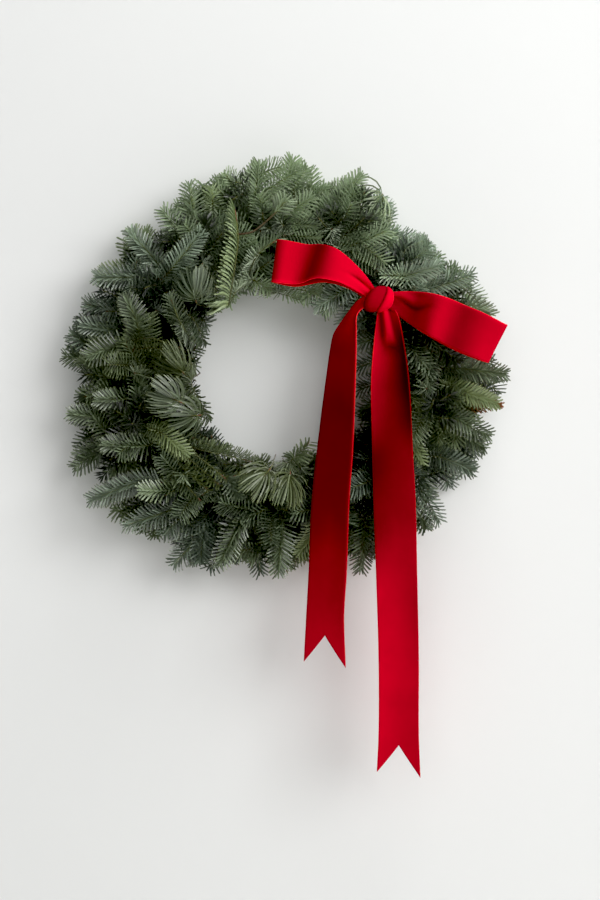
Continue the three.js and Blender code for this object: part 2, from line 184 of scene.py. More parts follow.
def add_piece(name, points, quads, triangles, materials, nodes, looks=None, values=(), uv=None):
    corners = np.concatenate([np.ravel(quads), np.ravel(triangles)]).astype(np.int32)
    starts = np.concatenate([np.arange(len(quads)) * 4, len(quads) * 4 + np.arange(len(triangles)) * 3])
    mesh = bpy.data.meshes.new(name)
    mesh.vertices.add(len(points))
    mesh.vertices.foreach_set("co", (points * MM).astype(np.float32).ravel())
    mesh.loops.add(len(corners))
    mesh.loops.foreach_set("vertex_index", corners)
    mesh.polygons.add(len(starts))
    mesh.polygons.foreach_set("loop_start", starts.astype(np.int32))
    mesh.polygons.foreach_set("use_smooth", np.ones(len(starts), bool) if looks is None else looks > 0)
    if looks is not None:
        mesh.polygons.foreach_set("material_index", looks.astype(np.int32))
    for key, numbers in dict(values).items():
        mesh.attributes.new(key, "FLOAT", "POINT").data.foreach_set("value", numbers.astype(np.float32))
    if uv is not None:
        mesh.uv_layers.new(name="cloth").data.foreach_set("uv", uv.astype(np.float32).ravel())
    mesh.update(calc_edges=True)
    for material in materials:
        mesh.materials.append(material)
    piece = bpy.data.objects.new(name, mesh)
    bpy.context.scene.collection.objects.link(piece)
    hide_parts(*nodes)
    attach(piece, "root")
    return piece


def wrap(rings, sides, closed=False):
    """The faces of a tube of rings of points: quads between rings, and a fan to each end's first point."""
    row, side = np.meshgrid(np.arange(rings if closed else rings - 1), np.arange(sides), indexing="ij")
    after, beside = (row + 1) % rings, (side + 1) % sides
    quads = np.stack(
        [row * sides + side, row * sides + beside, after * sides + beside, after * sides + side], axis=-1
    ).reshape(-1, 4)
    fan = np.arange(1, sides - 1)
    near = np.stack([0 * fan, fan + 1, fan], axis=-1)
    far = np.stack([0 * fan, fan, fan + 1], axis=-1) + (rings - 1) * sides
    ends = np.zeros((0, 3), int) if closed else np.concatenate([near, far])
    return quads, ends


def wire_material(name, code, metallic, roughness):
    """Drawn wire: fine marks from the die, and darker patches of handling about 11 mm across."""
    material, tree, output = new_material(name)
    coords = add_node(tree, "ShaderNodeTexCoord")
    marks = add_node(
        tree,
        "ShaderNodeTexNoise",
        {"Vector": coords.outputs["Object"], "Scale": 1 / (DIE_MARK * MM), "Detail": 3, "Roughness": 0.6},
    )
    patches = add_node(
        tree,
        "ShaderNodeTexNoise",
        {"Vector": coords.outputs["Object"], "Scale": 90, "Detail": 2},
    )
    shade = add_node(
        tree,
        "ShaderNodeMix",
        {0: patches.outputs["Fac"], 6: linear(code), 7: tuple(0.55 * c for c in linear(code)[:3]) + (1,)},
        data_type="RGBA",
    )
    rough = add_node(
        tree,
        "ShaderNodeMapRange",
        {"Value": marks.outputs["Fac"], "To Min": roughness - 0.08, "To Max": roughness + 0.12},
    )
    relief = add_node(
        tree, "ShaderNodeBump", {"Height": marks.outputs["Fac"], "Strength": 0.15, "Distance": 0.0002}
    )
    surface = add_node(
        tree,
        "ShaderNodeBsdfPrincipled",
        {
            "Base Color": shade.outputs[2],
            "Roughness": rough.outputs[0],
            "Metallic": metallic,
            "Normal": relief.outputs[0],
        },
    )
    tree.links.new(surface.outputs[0], output.inputs["Surface"])
    return material


enamelled_wire = wire_material("green_enamelled_wire", "#2f4a33", 0.0, 0.35)
steel_wire = wire_material("galvanised_wire", "#8c8f90", 1.0, 0.38)

around, across = np.meshgrid(
    np.arange(RING_STEPS) * 360 / RING_STEPS, np.arange(RING_SIDES) * 360 / RING_SIDES, indexing="ij"
)
ring_points = place(
    around,
    RING_RADIUS + RING_WIRE * np.cos(np.radians(across)),
    RING_LIFT + RING_WIRE * np.sin(np.radians(across)),
).reshape(-1, 3)
quads, ends = wrap(RING_STEPS, RING_SIDES, closed=True)
add_piece("ring_wire", ring_points, quads, ends, [enamelled_wire], ["wire_ring"])


# Binding wire. Thin enamelled wire wound in one helix, with a turn at each station, round the ring and
# the stems that lie along it.
STATIONS = 13
STATION_STEP = 360 / STATIONS
STEM_ROOT = 2
STEM_OFFSET = RING_WIRE + STEM_ROOT + 0.6
BINDING_WIRE = 0.55
BINDING_OFFSET = STEM_OFFSET + STEM_ROOT + BINDING_WIRE + 0.74
BINDING_PHASE = -4
BINDING_STEPS = 900
BINDING_SIDES = 6


def beside_ring(clock, side, offset):
    """A place beside the ring wire: offset from its centre, turned by side from outwards to the viewer."""
    turn = np.radians(side)
    return place(clock, RING_RADIUS + offset * np.cos(turn), RING_LIFT + offset * np.sin(turn))


def through(points, steps):
    """A smooth path through the points, cut into even steps. Each span is a cubic (centripetal
    Catmull-Rom), worked out at 24 places, whose end slopes come from its neighbours, weighted by the
    roots of their lengths."""
    points = np.asarray(points, float)
    ends = np.vstack([2 * points[0] - points[1], points, 2 * points[-1] - points[-2]])
    spans = len(points) - 1
    fine = np.linspace(0, spans, 24 * spans + 1)
    span = np.minimum(fine.astype(int), spans - 1)
    part = (fine - span)[:, None]
    before, start, end, after = (ends[span + i] for i in range(4))
    gap0, gap1, gap2 = (
        np.sqrt(np.linalg.norm(b - a, axis=1, keepdims=True)) + 1e-9
        for a, b in ((before, start), (start, end), (end, after))
    )
    leave = ((start - before) / gap0 - (end - before) / (gap0 + gap1)) * gap1 + end - start
    arrive = ((after - end) / gap2 - (after - start) / (gap1 + gap2)) * gap1 + end - start
    cubic = 2 * start - 2 * end + leave + arrive
    square = -3 * start + 3 * end - 2 * leave - arrive
    places = start + leave * part + square * part**2 + cubic * part**3
    along = np.concatenate([[0], np.cumsum(np.linalg.norm(np.diff(places, axis=0), axis=1))])
    even = np.linspace(0, along[-1], steps + 1)
    return np.stack([np.interp(even, along, places[:, axis]) for axis in range(3)], axis=1)


def tube(path, radii, sides):
    """A tube of the given radii along a path. Its ring of sides is carried from one place to the next
    without turning about the path: each direction across is the last one, made square to the path. The
    first is square to a slanting direction that no path here starts in."""
    ahead = unit(np.gradient(path, axis=0))
    across = np.empty_like(path)
    last = np.cross(ahead[0], (0.31, 0.52, 0.79))
    for i, heading in enumerate(ahead):
        last = last - last.dot(heading) * heading
        last /= np.linalg.norm(last)
        across[i] = last
    up = np.cross(ahead, across)
    turn = np.arange(sides) * 2 * np.pi / sides
    ring = across[:, None] * np.cos(turn)[:, None] + up[:, None] * np.sin(turn)[:, None]
    return (path[:, None] + ring * np.reshape(radii, (-1, 1, 1))).reshape(-1, 3)


turns = np.linspace(2, 358, STATIONS * 8 + 1)
helix = through(beside_ring(turns + BINDING_PHASE, turns * STATIONS, BINDING_OFFSET), BINDING_STEPS)
wire_points = tube(helix, np.full(len(helix), BINDING_WIRE), BINDING_SIDES)
quads, ends = wrap(len(helix), BINDING_SIDES)
add_piece("binding", wire_points, quads, ends, [enamelled_wire], ["binding_wire"])


# Hanging loop and bow wire. Soft galvanised wire: one goes round the ring at the top and up into an eye
# for the nail, the other goes round ring and stems and forward to the back of the bow's knot.
TIE_WIRE = 0.7
TIE_OFFSET = BINDING_OFFSET + BINDING_WIRE + TIE_WIRE + 0.36
HUG_OFFSET = STEM_OFFSET + STEM_ROOT + TIE_WIRE + 0.25
TIE_STEPS = 200
TIE_SIDES = 10
KNOT_X, KNOT_LIFT, KNOT_Z = 112, 130, 78
KNOT_HALF_DEPTH = 13
KNOT_GAP = 0.4
BOW_CLOCK = 2 * STATION_STEP

eye = [
    (6, -2.4, -13), (7.5, -1, -7), (4.5, -1, -1.2), (0, -1, 0),
    (-4.5, -1, -1.2), (-7.5, -1, -7), (-5.5, -2.4, -13),
]
loop_path = through(
    [
        beside_ring(0.6, -75, TIE_OFFSET + 2.4),
        *eye,
        beside_ring(-0.7, -50, TIE_OFFSET + 1.6),
        *beside_ring(-0.5, np.arange(7) * 45, TIE_OFFSET),
    ],
    TIE_STEPS,
)
knot_back = KNOT_LIFT - KNOT_HALF_DEPTH - TIE_WIRE - KNOT_GAP
knot_reach = np.hypot(KNOT_X, KNOT_Z)
knot_clock = np.degrees(np.arctan2(KNOT_X, KNOT_Z))
bow_path = through(
    [
        place(knot_clock, knot_reach, knot_back),
        place(knot_clock + 0.3, knot_reach + 5, knot_back - 10),
        place(BOW_CLOCK, RING_RADIUS + TIE_OFFSET, 58),
        beside_ring(BOW_CLOCK, 25, TIE_OFFSET),
        *beside_ring(BOW_CLOCK, np.arange(-10, -151, -35), HUG_OFFSET),
        beside_ring(BOW_CLOCK, 175, TIE_OFFSET),
        place(BOW_CLOCK, RING_RADIUS - TIE_OFFSET, 58),
        place(knot_clock, knot_reach - 2.5, knot_back - 4),
    ],
    TIE_STEPS,
)
for name, path, node in (("hanging_wire", loop_path, "hanging_loop"), ("bow_tie", bow_path, "bow_wire")):
    wire_points = tube(path, np.full(len(path), TIE_WIRE), TIE_SIDES)
    quads, ends = wrap(len(path), TIE_SIDES)
    add_piece(name, wire_points, quads, ends, [steel_wire], [node])


# Ribbon bow. One length of red velvet ribbon, 50 mm wide, tied in two loops with a wrap over the middle,
# and its two tails cut to swallow-tails. It is worked out before the sprigs, because they keep clear of it.
CLOTH = 1.1
RIBBON_WIDTH = 50
CLOTH_COLUMNS = 21
EDGE_STEPS = 900


def ply(first, second, steps, swell, painted_light, notch=0.0):
    """A stretch of ribbon between two edges. Its middle is first edge * (1 - over) + second edge * over
    at the same share of both lengths, pushed out along the cloth's own normal by swell(along, over).
    notch is the share cut away at the middle of its end. Gives both faces and the rims, the length, and the
    light and shade painted at each place along and over it, from the function given after swell."""
    along, over = np.meshgrid(np.linspace(0, 1, steps + 1), np.linspace(0, 1, CLOTH_COLUMNS), indexing="ij")
    reached = along * (1 - notch * (1 - np.abs(2 * over - 1)))
    fine = np.arange(EDGE_STEPS + 1)
    edges = []
    for edge in (first, second):
        path = through([(x, -lift, z - HANG_DROP) for x, lift, z in edge], EDGE_STEPS)
        edges.append(np.stack([np.interp(reached * EDGE_STEPS, fine, path[:, k]) for k in range(3)], -1))
    middle = edges[0] * (1 - over[..., None]) + edges[1] * over[..., None]

    def outward(grid):
        return unit(np.cross(np.gradient(grid, axis=0), np.gradient(grid, axis=1)))

    middle = middle + outward(middle) * swell(along, over)[..., None]
    half = outward(middle) * CLOTH / 2
    length = np.linalg.norm(np.diff(middle[:, CLOTH_COLUMNS // 2], axis=0), axis=1).sum()
    rows, columns = along.shape
    number = np.arange(rows * columns).reshape(rows, columns)
    back = number + rows * columns
    sheet = np.stack([number[:-1, :-1], number[1:, :-1], number[1:, 1:], number[:-1, 1:]], -1).reshape(-1, 4)
    quads = np.concatenate(
        [
            sheet,
            sheet[:, ::-1] + rows * columns,
            np.stack([number[:-1, 0], back[:-1, 0], back[1:, 0], number[1:, 0]], -1),
            np.stack([number[:-1, -1], number[1:, -1], back[1:, -1], back[:-1, -1]], -1),
            np.stack([number[0, :-1], number[0, 1:], back[0, 1:], back[0, :-1]], -1),
            np.stack([number[-1, :-1], back[-1, :-1], back[-1, 1:], number[-1, 1:]], -1),
        ]
    )
    spots = np.concatenate([(middle + half).reshape(-1, 3), (middle - half).reshape(-1, 3)])
    cloth = np.stack([over, reached * length / RIBBON_WIDTH], -1).reshape(-1, 2)
    light_and_shade = np.tile(np.ravel(painted_light(along, over) + 0 * along), 2)
    return spots, quads, np.concatenate([cloth, cloth]), light_and_shade, length


def near(share, at, width, power=2):
    """A smooth hump of height one: e to the minus (distance from at / width) to a power."""
    return np.exp(-(np.abs((share - at) / width) ** power))


def eased(share, stops, values):
    """Values at the stops, with a slow start and end between each two: part ** 2 * (3 - 2 * part)."""
    step = np.interp(share, stops, np.arange(len(stops)))
    part = step - np.floor(step)
    return np.interp(np.floor(step) + part**2 * (3 - 2 * part), np.arange(len(stops)), values)


def left_swell(along, over):
    """Fine gathers that run into the knot from both plies, and a sharper pleat near the top edge."""
    gathers = 1.5 * np.sin(2 * np.pi * 1.7 * over + 0.6) * (near(along, 0, 0.09) + near(along, 1, 0.08))
    return gathers - 3.2 * near(over, 0.3 + 1.2 * along, 0.09) * near(along, 0.07, 0.06)


def left_painted_light(along, over):
    """Painted light and shade: bright towards the knot and at the far fold, painted shade in the slanting
    fold between them and at the pleat, and a painted highlight along the lower edge.
    """
    away = np.where(along > 0.305, (along - 0.305) / 0.085, (0.305 - along) / (0.055 + 0.03 * over))
    fold = np.exp(-(away**2.4))
    pleat = near(over, 0.3 + 1.2 * along, 0.07) * near(along, 0.09, 0.05)
    plain = eased(along, (0, 0.1, 0.22, 0.4, 0.46, 0.5, 0.55), (0.85, 0.92, 0.88, 0.8, 0.75, 0.4, 0.3))
    return plain * (1 - 0.72 * fold) * (1 - 0.75 * pleat) + 0.5 * near(over, 1, 0.05)


def right_crease(along):
    """Where the right loop's crease lies across the ribbon: it dips and rises again away from the knot."""
    return 0.58 + 0.1 * np.sin(2 * np.pi * along / 0.16)


def right_swell(along, over):
    """A rounded roll along the top edge near the knot, over the crease."""
    crease = right_crease(along)
    roll = 4.5 * near(over, crease + 0.2, 0.16) * near(along, 0.08, 0.09)
    dip = -3.5 * near(over, crease, 0.07) * near(along, 0.1, 0.07)
    gathers = 1.3 * np.sin(2 * np.pi * 1.8 * over) * (near(along, 0, 0.05) + near(along, 1, 0.08))
    return roll + dip + gathers


def right_painted_light(along, over):
    """Painted light and shade: dark near the knot, bright on the crest, painted shade in the hollow behind it
    and in the crease, bright to the end, and a painted highlight along the top edge.
    """
    crease = right_crease(along)
    stops = (0, 0.05, 0.13, 0.18, 0.24, 0.33, 0.46, 0.5)
    lit = eased(along, stops, (0.6, 0.4, 0.3, 0.42, 0.85, 0.38, 0.85, 0.9))
    roll = 0.35 * near(over, crease + 0.25, 0.2) * near(along, 0.06, 0.07)
    dark = 0.6 * near(over, crease, 0.08) * near(along, 0.12, 0.06)
    return 0.76 * (lit + roll) * (1 - dark) + 0.3 * near(over, 1, 0.04)


def left_tail_swell(along, over):
    """A soft fold that fades below the shoulder."""
    return 1.2 * np.sin(2 * np.pi * over) * near(along, 0.08, 0.08)


def left_tail_painted_light(along, over):
    """Painted shade: this tail is painted dark, as it turns away from the light, less so towards its end,
    with a painted highlight along its inner edge near the knot.
    """
    light_and_shade = eased(along, (0, 0.06, 0.2, 0.35, 0.6, 0.8, 1), (0.7, 0.52, 0.33, 0.19, 0.17, 0.34, 0.46))
    return light_and_shade + 0.35 * near(over, 1, 0.05) * (1 - along)


def tongue_middle(along):
    """Where the tongue of the right tail's pleat lies across the ribbon: it slants down from the knot."""
    return 0.36 + 0.22 * np.clip(along / 0.1, 0, 1)


def right_tail_swell(along, over):
    """A trough below the knot that fades downwards, and the raised tongue of a pleat that starts in it."""
    trough = 11 * near(along, 0.13, 0.12) * (1 - (2 * over - 1) ** 2)
    tongue = 11 * near(over, tongue_middle(along), 0.2, 3) * np.clip((0.1 - along) / 0.03, 0, 1)
    return tongue - trough


def right_tail_painted_light(along, over):
    """Painted light and shade: painted shade beside the tongue, duller down to half way with its lit side
    changing over, then bright, and a painted highlight on the tongue.
    """
    stops = (0, 0.08, 0.2, 0.34, 0.45, 0.62, 0.8, 1)
    light_and_shade = eased(along, stops, (0.55, 0.36, 0.2, 0.18, 0.25, 0.5, 0.62, 0.56))
    slant = eased(along, (0, 0.1, 0.24, 0.34, 0.5, 0.62, 1), (0, -0.35, -0.16, 0.08, 0.06, -0.14, -0.12))
    tongue = near(over, tongue_middle(along), 0.17, 3) * np.clip((0.1 - along) / 0.02, 0, 1)
    beside = near(over, tongue_middle(along), 0.34, 3) * near(along, 0.04, 0.07, 4) * (1 - tongue)
    return np.clip((light_and_shade + slant * (2 * over - 1)) * (1 - 0.93 * beside) + 0.34 * tongue, 0.03, 1)


left_loop = ply(
    [(108, 128, 88), (91, 138, 110), (65, 146, 133), (54, 147, 138), (47, 144, 140), (38, 134, 141.5),
     (28, 128, 142), (13, 126, 145), (-5, 127, 148), (-8, 122, 148), (-4, 116, 147), (13, 113, 144),
     (49, 114, 139), (80, 117, 121), (105, 119, 88)],
    [(102, 128, 76), (93, 134, 82), (66, 144, 95), (49, 148, 99), (38, 147, 100), (30, 143, 98.5),
     (21, 134, 95.5), (11, 128, 94.5), (-11, 127, 97), (-15, 122, 98), (-11, 116, 97), (13, 113, 93),
     (49, 114, 98), (80, 117, 88.5), (101, 119, 74)],
    120, left_swell, left_painted_light,
)
right_loop = ply(
    [(120, 126, 69), (137, 127, 57), (151, 130, 46), (163, 136, 38.5), (173, 141, 32.5), (185, 140, 26),
     (205, 135, 16), (225, 133, 8), (239, 129, 2), (242, 123, 2), (238, 117, 3), (205, 114, 16),
     (165, 115, 38), (137, 118, 57), (119, 120, 70)],
    [(120, 128, 85), (145, 129, 86), (158, 133, 85.5), (168, 140, 84), (178, 144, 82), (195, 140, 77),
     (215, 135, 69), (235, 133, 61), (261, 129, 48), (265, 123, 47), (260, 117, 48), (215, 114, 69),
     (177, 115, 83), (145, 118, 86), (119, 120, 84)],
    130, right_swell, right_painted_light,
)
left_tail = ply(
    [(101, 126, 82), (89, 122, 77), (70, 112, 54), (59, 106, 37), (55, 104, 19), (50, 104, -16),
     (42, 106, -77), (33, 108, -161), (29, 111, -246), (26, 114, -300), (23, 117, -354)],
    [(104, 130, 70), (93, 131, 66), (86, 134, 58), (85, 138, 38), (85, 141, 18), (84, 140, -24),
     (81, 136, -103), (77, 132, -161), (74, 129, -246), (71, 124, -299), (73, 119, -361)],
    150, left_tail_swell, left_tail_painted_light, 0.078,
)
right_tail = ply(
    [(112, 126, 72), (110, 128, 58), (106, 128, 24), (103, 127, -20), (104, 124, -87), (106, 121, -161),
     (109, 120, -250), (112, 119, -352), (112, 118, -437), (110, 118, -485)],
    [(126, 126, 72), (134, 128, 60), (142, 128, 24), (148, 127, -20), (153, 124, -110), (156, 121, -161),
     (158, 120, -250), (160, 119, -352), (160, 118, -437), (162, 118, -492)],
    170, right_tail_swell, right_tail_painted_light, 0.063,
)


def band_edge(along):
    """Where the slanting crease of the wrap lies across it."""
    return 0.88 - 0.42 * along


def wrap_swell(along, over):
    """A smooth pillow, with a narrow slanting crease that parts a rounded band at its right from the rest."""
    band = band_edge(along)
    pillow = 2.4 * (1 - (2 * over - 1) ** 4)
    return pillow - 1.9 * near(over, band, 0.045) + 0.8 * near(over, band + 0.14, 0.09)


def wrap_painted_light(along, over):
    """Painted light and shade: the band at the right is painted bright, with painted shade in the crease
    beside it and towards the left edge.
    """
    band = band_edge(along)
    light = 0.44 + 0.56 * np.clip((over - band) / 0.06, 0, 1)
    return light - 0.4 * near(over, band, 0.045) - 0.3 * near(over, 0, 0.16)


# The wrap goes over the front of the knot from above to below, drawn in at both ends, and a small round
# core of bunched ribbon fills it.
wrap_turn = np.radians(np.linspace(125, -125, 11))
drawn_in = 6 * np.minimum(np.abs(wrap_turn) / 1.3, 1) ** 2
wrap_edges = [
    np.stack(
        [
            KNOT_X + side * (reach - lean * np.sin(wrap_turn) - drawn_in),
            KNOT_LIFT + 12.4 * np.cos(wrap_turn),
            KNOT_Z - 1 + 12.5 * np.sin(wrap_turn),
        ],
        axis=-1,
    )
    for side, reach, lean in ((-1, 16.5, 6), (1, 17, -1))
]
knot_wrap = ply(*wrap_edges, 48, wrap_swell, wrap_painted_light)
CORE_RINGS = 25
CORE_SIDES = 48
rise, turn = np.meshgrid(np.linspace(-88, 88, CORE_RINGS), np.arange(CORE_SIDES) * 7.5, indexing="ij")
rise, turn = np.radians(rise), np.radians(turn)
core = np.stack(
    [
        KNOT_X + 14 * np.sin(rise),
        -KNOT_LIFT - 11 * np.cos(rise) * np.cos(turn),
        KNOT_Z - HANG_DROP - 12 * np.cos(rise) * np.sin(turn),
    ],
    axis=-1,
).reshape(-1, 3)
core_quads, core_ends = wrap(CORE_RINGS, CORE_SIDES)

shells = [left_loop, right_loop, left_tail, right_tail, knot_wrap]
counts = np.cumsum([0] + [len(shell[0]) for shell in shells])
bow_points = np.concatenate([shell[0] for shell in shells] + [core])
bow_quads = [shell[1] + start for shell, start in zip(shells, counts)]
bow_quads = np.concatenate([*bow_quads, core_quads + counts[-1]])
bow_ends = core_ends + counts[-1]
bow_cloth = np.concatenate([shell[2] for shell in shells] + [np.full((len(core), 2), 0.5)])
# The painted light and shade of each stretch, and a middle value on the core.
bow_painted_light = np.concatenate([shell[3] for shell in shells] + [np.full(len(core), 0.5)])

# Cotton velvet: a short dense pile, from dark to bright red by the light and shade painted on each stretch of
# ribbon, varied in soft patches of about 36 mm, with a satin selvedge that shows as a brighter line inside
# each edge, partly its own shinier weave and partly a painted highlight. The pile is finer than the render
# can show, and is drawn at 1.1 mm.
SELVEDGE_START = 0.85
SELVEDGE_FULL = 0.5
velvet, tree, output = new_material("red_cotton_velvet")
cloth = add_node(tree, "ShaderNodeUVMap", uv_map="cloth")
split = add_node(tree, "ShaderNodeSeparateXYZ", {0: cloth.outputs[0]})
from_middle = add_node(tree, "ShaderNodeMath", {0: split.outputs[0], 1: 0.5}, operation="SUBTRACT")
from_middle = add_node(tree, "ShaderNodeMath", {0: from_middle.outputs[0]}, operation="ABSOLUTE")
selvedge = add_node(
    tree,
    "ShaderNodeMapRange",
    {
        "Value": from_middle.outputs[0],
        "From Min": 0.5 - SELVEDGE_START / RIBBON_WIDTH,
        "From Max": 0.5 - SELVEDGE_FULL / RIBBON_WIDTH,
    },
)
coords = add_node(tree, "ShaderNodeTexCoord")
brushed, pile = (
    add_node(
        tree,
        "ShaderNodeTexNoise",
        {"Vector": coords.outputs["Object"], "Scale": scale, "Detail": detail, "Roughness": rough},
    )
    for scale, detail, rough in ((28, 3, 0.55), (900, 2, 0.6))
)
# The light and shade painted on the ribbon, read from the mesh.
light_and_shade = add_node(tree, "ShaderNodeAttribute", attribute_name="painted_light")
patch = add_node(
    tree,
    "ShaderNodeMapRange",
    {"Value": brushed.outputs["Fac"], "From Min": 0.3, "From Max": 0.7, "To Min": 0.93, "To Max": 1.07},
)
light_and_shade_in_patches = add_node(tree, "ShaderNodeMath", {0: light_and_shade.outputs["Fac"], 1: patch.outputs[0]}, operation="MULTIPLY")
# Shaded and lit copies of the red, and of the selvedge red, mixed by the painted light and shade.
red, edge_red = (
    add_node(
        tree, "ShaderNodeMix", {0: light_and_shade_in_patches.outputs[0], 6: linear(dark), 7: linear(bright)}, data_type="RGBA"
    )
    for dark, bright in (("#1c0008", "#da002c"), ("#7a0a08", "#fb3436"))
)
edged = add_node(
    tree,
    "ShaderNodeMix",
    {0: selvedge.outputs[0], 6: red.outputs[2], 7: edge_red.outputs[2]},
    data_type="RGBA",
)
relief = add_node(
    tree, "ShaderNodeBump", {"Height": pile.outputs["Fac"], "Strength": 0.2, "Distance": 0.0004}
)
# The sheen follows the painted light and shade too.
sheen = add_node(tree, "ShaderNodeMath", {0: light_and_shade_in_patches.outputs[0], 1: 0.3}, operation="MULTIPLY")
surface = add_node(
    tree,
    "ShaderNodeBsdfPrincipled",
    {
        "Base Color": edged.outputs[2],
        "Roughness": 0.95,
        "Specular IOR Level": 0.06,
        "Sheen Weight": sheen.outputs[0],
        "Sheen Roughness": 0.45,
        "Sheen Tint": linear("#ff2642"),
        "Normal": relief.outputs[0],
    },
)
tree.links.new(surface.outputs[0], output.inputs["Surface"])

bow_uv = bow_cloth[np.concatenate([bow_quads.ravel(), bow_ends.ravel()])]
bow = add_piece(
    "velvet_bow", bow_points, bow_quads, bow_ends, [velvet], ["ribbon"],
    uv=bow_uv, values={"painted_light": bow_painted_light},
)


# Fir sprigs. Fresh noble fir, four rows of cut sprays a station, bound clockwise round the ring. Each
# spray is a woody twig with side twigs, and needles on all of them that curve up from a pressed base.

# A row's side is the angle about the ring wire at which its stems lie, its lift is how far its tips are
# off the wall, and its tips are their clock angle and reach: three a spray in the outer row, else one.
OUTER = {
    "name": "outer",
    "side": -20,
    "lift": 30,
    "tips": [
        [(3, 262), (14, 240), (23, 261)],
        [(31, 246), (41, 226), (51, 241)],
        [(60, 252), (66, 263), (77, 262)],
        [(86, 262), (93, 273), (101, 269)],
        [(110, 267), (118, 273), (127, 256)],
        [(136, 272), (146, 260), (157, 267)],
        [(166, 250), (175, 248), (183, 258)],
        [(192, 250), (201, 262), (208, 278)],
        [(217, 272), (227, 280), (237, 293)],
        [(246, 286), (257, 276), (264, 260)],
        [(273, 273), (281, 270), (289, 262)],
        [(297, 262), (306, 254), (313, 263)],
        [(325, 246), (334, 256), (342, 254)],
    ],
}
MIDDLE = {
    "name": "middle",
    "side": 50,
    "lift": 66,
    "tips": [(33, 216), (57, 226), (82, 232), (106, 238), (132, 236), (160, 240), (190, 238), (214, 246),
             (247, 243), (272, 247), (296, 222), (330, 210), (353, 256)],
}
FRONT = {
    "name": "front",
    "side": 115,
    "lift": 92,
    "tips": [(31, 186), (58, 188), (85, 192), (112, 190), (141, 188), (168, 190), (195, 192), (224, 198),
             (252, 200), (279, 196), (306, 190), (334, 176), (3, 186)],
}
INNER = {
    "name": "inner",
    "side": 185,
    "lift": 54,
    "tips": [(44, 89), (74, 96), (104, 103), (132, 104), (160, 103), (186, 108), (213, 116), (240, 109),
             (266, 104), (290, 98), (318, 104), (344, 91), (12, 102)],
}
ROWS = [OUTER, MIDDLE, FRONT, INNER]
BOUND_ARC = 13.4
BOUND_BEFORE = 0.45
MAIN_STEPS = 60
SIDE_STEPS = 30


def chance(count):
    """The same value from 0 to 1 each time for a count: the fraction of a large sine, as in the model."""
    wave = np.sin(count * 12.9898 + 4.1414) * 43758.5453
    return wave - np.floor(wave)


def main_path(row, station, clock, reach, lift):
    """A sprig's main twig: three places beside the ring wire, then out to its tip, its clock angle
    running ahead with part ** 1.35, its reach with part ** 1.2 and its lift with 1 - (1 - part) ** 1.6."""
    crossing = BINDING_PHASE + (row["side"] / 360 + station) * STATION_STEP
    start = crossing - BOUND_ARC * BOUND_BEFORE
    leave = start + BOUND_ARC
    lead = (clock - leave + 180) % 360 - 180
    from_reach = RING_RADIUS + STEM_OFFSET * np.cos(np.radians(row["side"]))
    from_lift = RING_LIFT + STEM_OFFSET * np.sin(np.radians(row["side"]))
    bound = beside_ring(start + np.array([0, 0.5, 1]) * BOUND_ARC, row["side"], STEM_OFFSET)
    part = np.array([0.3, 0.65, 1])
    free = place(
        leave + lead * part**1.35,
        from_reach + (reach - from_reach) * part**1.2,
        from_lift + (lift - from_lift) * (1 - (1 - part) ** 1.6),
    )
    return through(np.vstack([bound, free]), MAIN_STEPS)


def tips_of(row, station):
    """The clock angle, reach and lift of a sprig's three tips, by the same rule as the model's."""
    seed = station * 4 + ROWS.index(row)

    def sway(count, span):
        return span * (chance(seed * 7 + count) - 0.5)

    lift = row["lift"] + sway(0, 12)
    if row is OUTER:
        left, middle, right = row["tips"][station]
        return [(*middle, lift), (*left, lift + sway(1, 16)), (*right, lift + sway(2, 16))]
    clock, reach = row["tips"][station]
    if row is INNER:
        return [
            (clock, reach, lift),
            (clock - 20 + sway(1, 5), reach + 6 + sway(2, 8), lift - 22 + sway(3, 8)),
            (clock - 8 + sway(4, 5), reach + 34 + sway(5, 8), lift + 24 + sway(6, 8)),
        ]
    spread = 11 if row is MIDDLE else 13
    return [
        (clock, reach, lift),
        (clock - spread + sway(1, 5), reach - 20 + sway(2, 16), lift + 2 + sway(3, 12)),
        (clock + spread + sway(4, 5), reach - 22 + sway(5, 16), lift + sway(6, 12)),
    ]


def side_path(root, heading, tip):
    """A side twig: a curve from its root to its tip, bowed forward along the main twig by 0.08 of its
    length: root * (1 - part) ** 2 + bend * 2 * part * (1 - part) + tip * part ** 2."""
    bend = (root + tip) / 2 + heading * np.linalg.norm(tip - root) * 0.08
    part = np.linspace(0, 1, SIDE_STEPS + 1)[:, None]
    return root * (1 - part) ** 2 + bend * 2 * part * (1 - part) + tip * part**2


